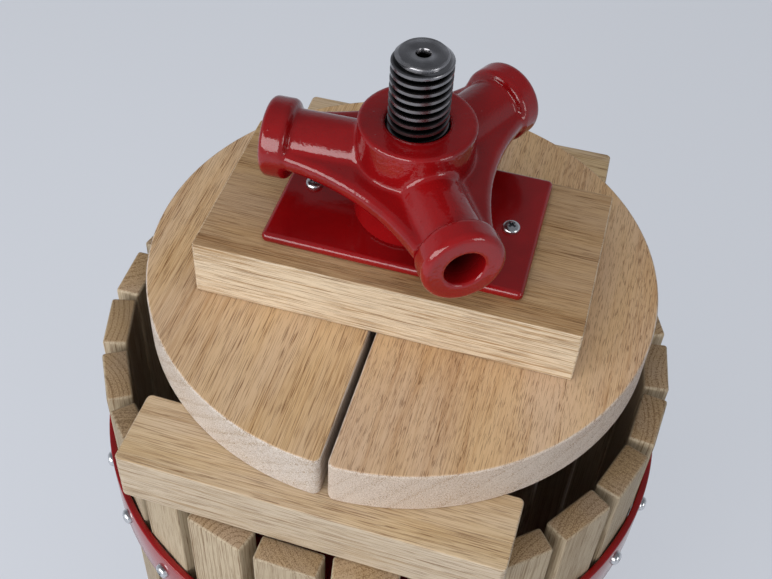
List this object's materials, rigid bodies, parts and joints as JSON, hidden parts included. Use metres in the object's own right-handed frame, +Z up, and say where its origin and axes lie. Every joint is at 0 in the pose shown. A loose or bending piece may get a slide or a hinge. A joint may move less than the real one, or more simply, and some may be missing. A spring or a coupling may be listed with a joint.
{
  "type": "fruit press",
  "caption": "Hand fruit press: slatted wooden basket in steel hoops on a legged juice tray, fixed central screw, and a cast nut with handle sockets bearing on wooden blocks.",
  "frame": {"origin": "on the press screw's axis, at the height of the feet's undersides", "axes": "+Z up along the screw, +X to the right along the blocks, -Y towards the spout and the viewer"},
  "size_m": [0.475, 0.5056, 0.6713],
  "materials": {
    "nut_paint": "gloss",
    "steel_paint": "gloss",
    "stand_paint": "gloss",
    "zinc_steel": "bright zinc",
    "screw_steel": "turned, dark",
    "gasket_rubber": "matt",
    "slat_oak": "planed, bare",
    "spacer_wood": "planed, bare",
    "disc_oak": "planed, bare",
    "disc_beech": "planed, bare",
    "block_oak": "planed, bare"
  },
  "bodies": {
    "stand": {"leg_back": "stand_paint", "leg_left": "stand_paint", "leg_right": "stand_paint", "leg_bolts": "zinc_steel", "stand_spider": "stand_paint", "juice_tray": "stand_paint", "screw_gasket": "gasket_rubber", "press_screw": "screw_steel", "screw_washer": "zinc_steel", "screw_foot_nut": "zinc_steel", "hoop_top": "steel_paint", "hoop_bottom": "steel_paint", "hoop_screws_top": "zinc_steel", "hoop_screws_bottom": "zinc_steel", "slat_01": "slat_oak", "slat_02": "slat_oak", "slat_03": "slat_oak", "slat_04": "slat_oak", "slat_05": "slat_oak", "slat_06": "slat_oak", "slat_07": "slat_oak", "slat_08": "slat_oak", "slat_09": "slat_oak", "slat_10": "slat_oak", "slat_11": "slat_oak", "slat_12": "slat_oak", "slat_13": "slat_oak", "slat_14": "slat_oak", "slat_15": "slat_oak", "slat_16": "slat_oak", "slat_17": "slat_oak", "slat_18": "slat_oak", "slat_19": "slat_oak", "slat_20": "slat_oak", "slat_21": "slat_oak", "slat_22": "slat_oak", "slat_23": "slat_oak", "slat_24": "slat_oak", "slat_25": "slat_oak"},
    "press_head": {"top_block": "block_oak", "pressure_plate": "steel_paint", "plate_screws": "zinc_steel"},
    "nut": {"press_nut": "nut_paint"},
    "left_disc": {"disc_left": "disc_oak"},
    "right_disc": {"disc_right": "disc_beech"},
    "front_spacer": {"spacer_front": "spacer_wood"},
    "back_spacer": {"spacer_back": "spacer_wood"}
  },
  "joints": [
    {"name": "head_lift", "type": "slide", "parent": "stand", "child": "press_head", "axis": [0, 0, 1], "range_m": [0, 0.0321]},
    {"name": "nut_turn", "type": "hinge", "parent": "press_head", "child": "nut", "pos_m": [0, 0, 0.6148], "axis": [0, 0, 1], "range_deg": [0, 2880]},
    {"name": "disc_left_slide", "type": "slide", "parent": "stand", "child": "left_disc", "axis": [-1, 0, 0], "range_m": [0, 0.03]},
    {"name": "disc_right_slide", "type": "slide", "parent": "stand", "child": "right_disc", "axis": [1, 0, 0], "range_m": [0, 0.025]},
    {"name": "spacer_front_slide", "type": "slide", "parent": "stand", "child": "front_spacer", "axis": [0, -1, 0], "range_m": [-0.01, 0.02]},
    {"name": "spacer_back_slide", "type": "slide", "parent": "stand", "child": "back_spacer", "axis": [0, 1, 0], "range_m": [-0.01, 0.015]}
  ],
  "couplings": [
    {"joint": "head_lift", "follows": "nut_turn", "m_per_rad": 0.00063662}
  ]
}
